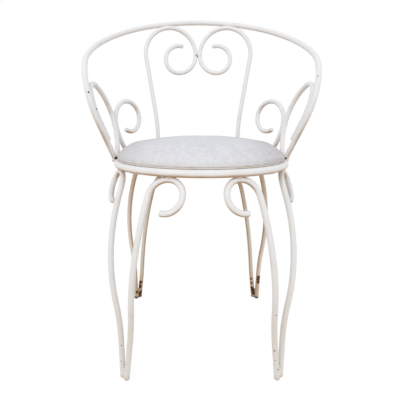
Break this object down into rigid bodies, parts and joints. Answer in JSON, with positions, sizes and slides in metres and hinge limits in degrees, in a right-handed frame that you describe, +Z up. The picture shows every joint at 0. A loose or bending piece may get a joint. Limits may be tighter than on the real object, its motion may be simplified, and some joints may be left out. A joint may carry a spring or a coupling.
{
  "type": "garden armchair",
  "caption": "Tub-backed garden armchair of bent round bar with scrollwork back and arms, paired scroll legs and a round padded seat that lifts out.",
  "frame": {"origin": "on the floor, under the middle of the chair's width and of its whole depth", "axes": "+Z up, the chair faces -Y, +X to the right as seen from the front; left and right in piece names are as seen from the front"},
  "size_m": [0.509, 0.4383, 0.796],
  "materials": {
    "painted_bar": "old white gloss paint, yellowed and chipped",
    "weld_metal": "lumpy, painted over",
    "cover": "soft grey suede cloth",
    "edge_band": "grey cloth, pulled tight",
    "foam": "plain",
    "plywood": "sanded",
    "dust_cloth": "thin black felt",
    "tack_steel": "dull"
  },
  "bodies": {
    "frame": {"arm_front_scroll_left": "painted_bar", "arm_front_scroll_right": "painted_bar", "arm_rail": "painted_bar", "arm_rear_scroll_left": "painted_bar", "arm_rear_scroll_right": "painted_bar", "back_left_leg_back_rod": "painted_bar", "back_left_leg_side_rod": "painted_bar", "back_right_leg_back_rod": "painted_bar", "back_right_leg_side_rod": "painted_bar", "back_scroll_left": "painted_bar", "back_scroll_right": "painted_bar", "foot_fillers": "weld_metal", "front_left_leg_front_rod": "painted_bar", "front_left_leg_side_rod": "painted_bar", "front_right_leg_front_rod": "painted_bar", "front_right_leg_side_rod": "painted_bar", "leg_welds": "weld_metal", "ring_welds": "weld_metal", "scroll_welds": "weld_metal", "seat_lugs": "painted_bar", "seat_ring": "painted_bar"},
    "seat": {"seat_board": "plywood", "seat_foam": "foam", "seat_cover": "cover", "seat_edge_band": "edge_band", "seat_dust_cloth": "dust_cloth", "seat_tacks": "tack_steel"}
  },
  "joints": [
    {"name": "seat_lift", "type": "slide", "parent": "frame", "child": "seat", "axis": [0, 0, 1], "range_m": [0, 0.06]}
  ]
}
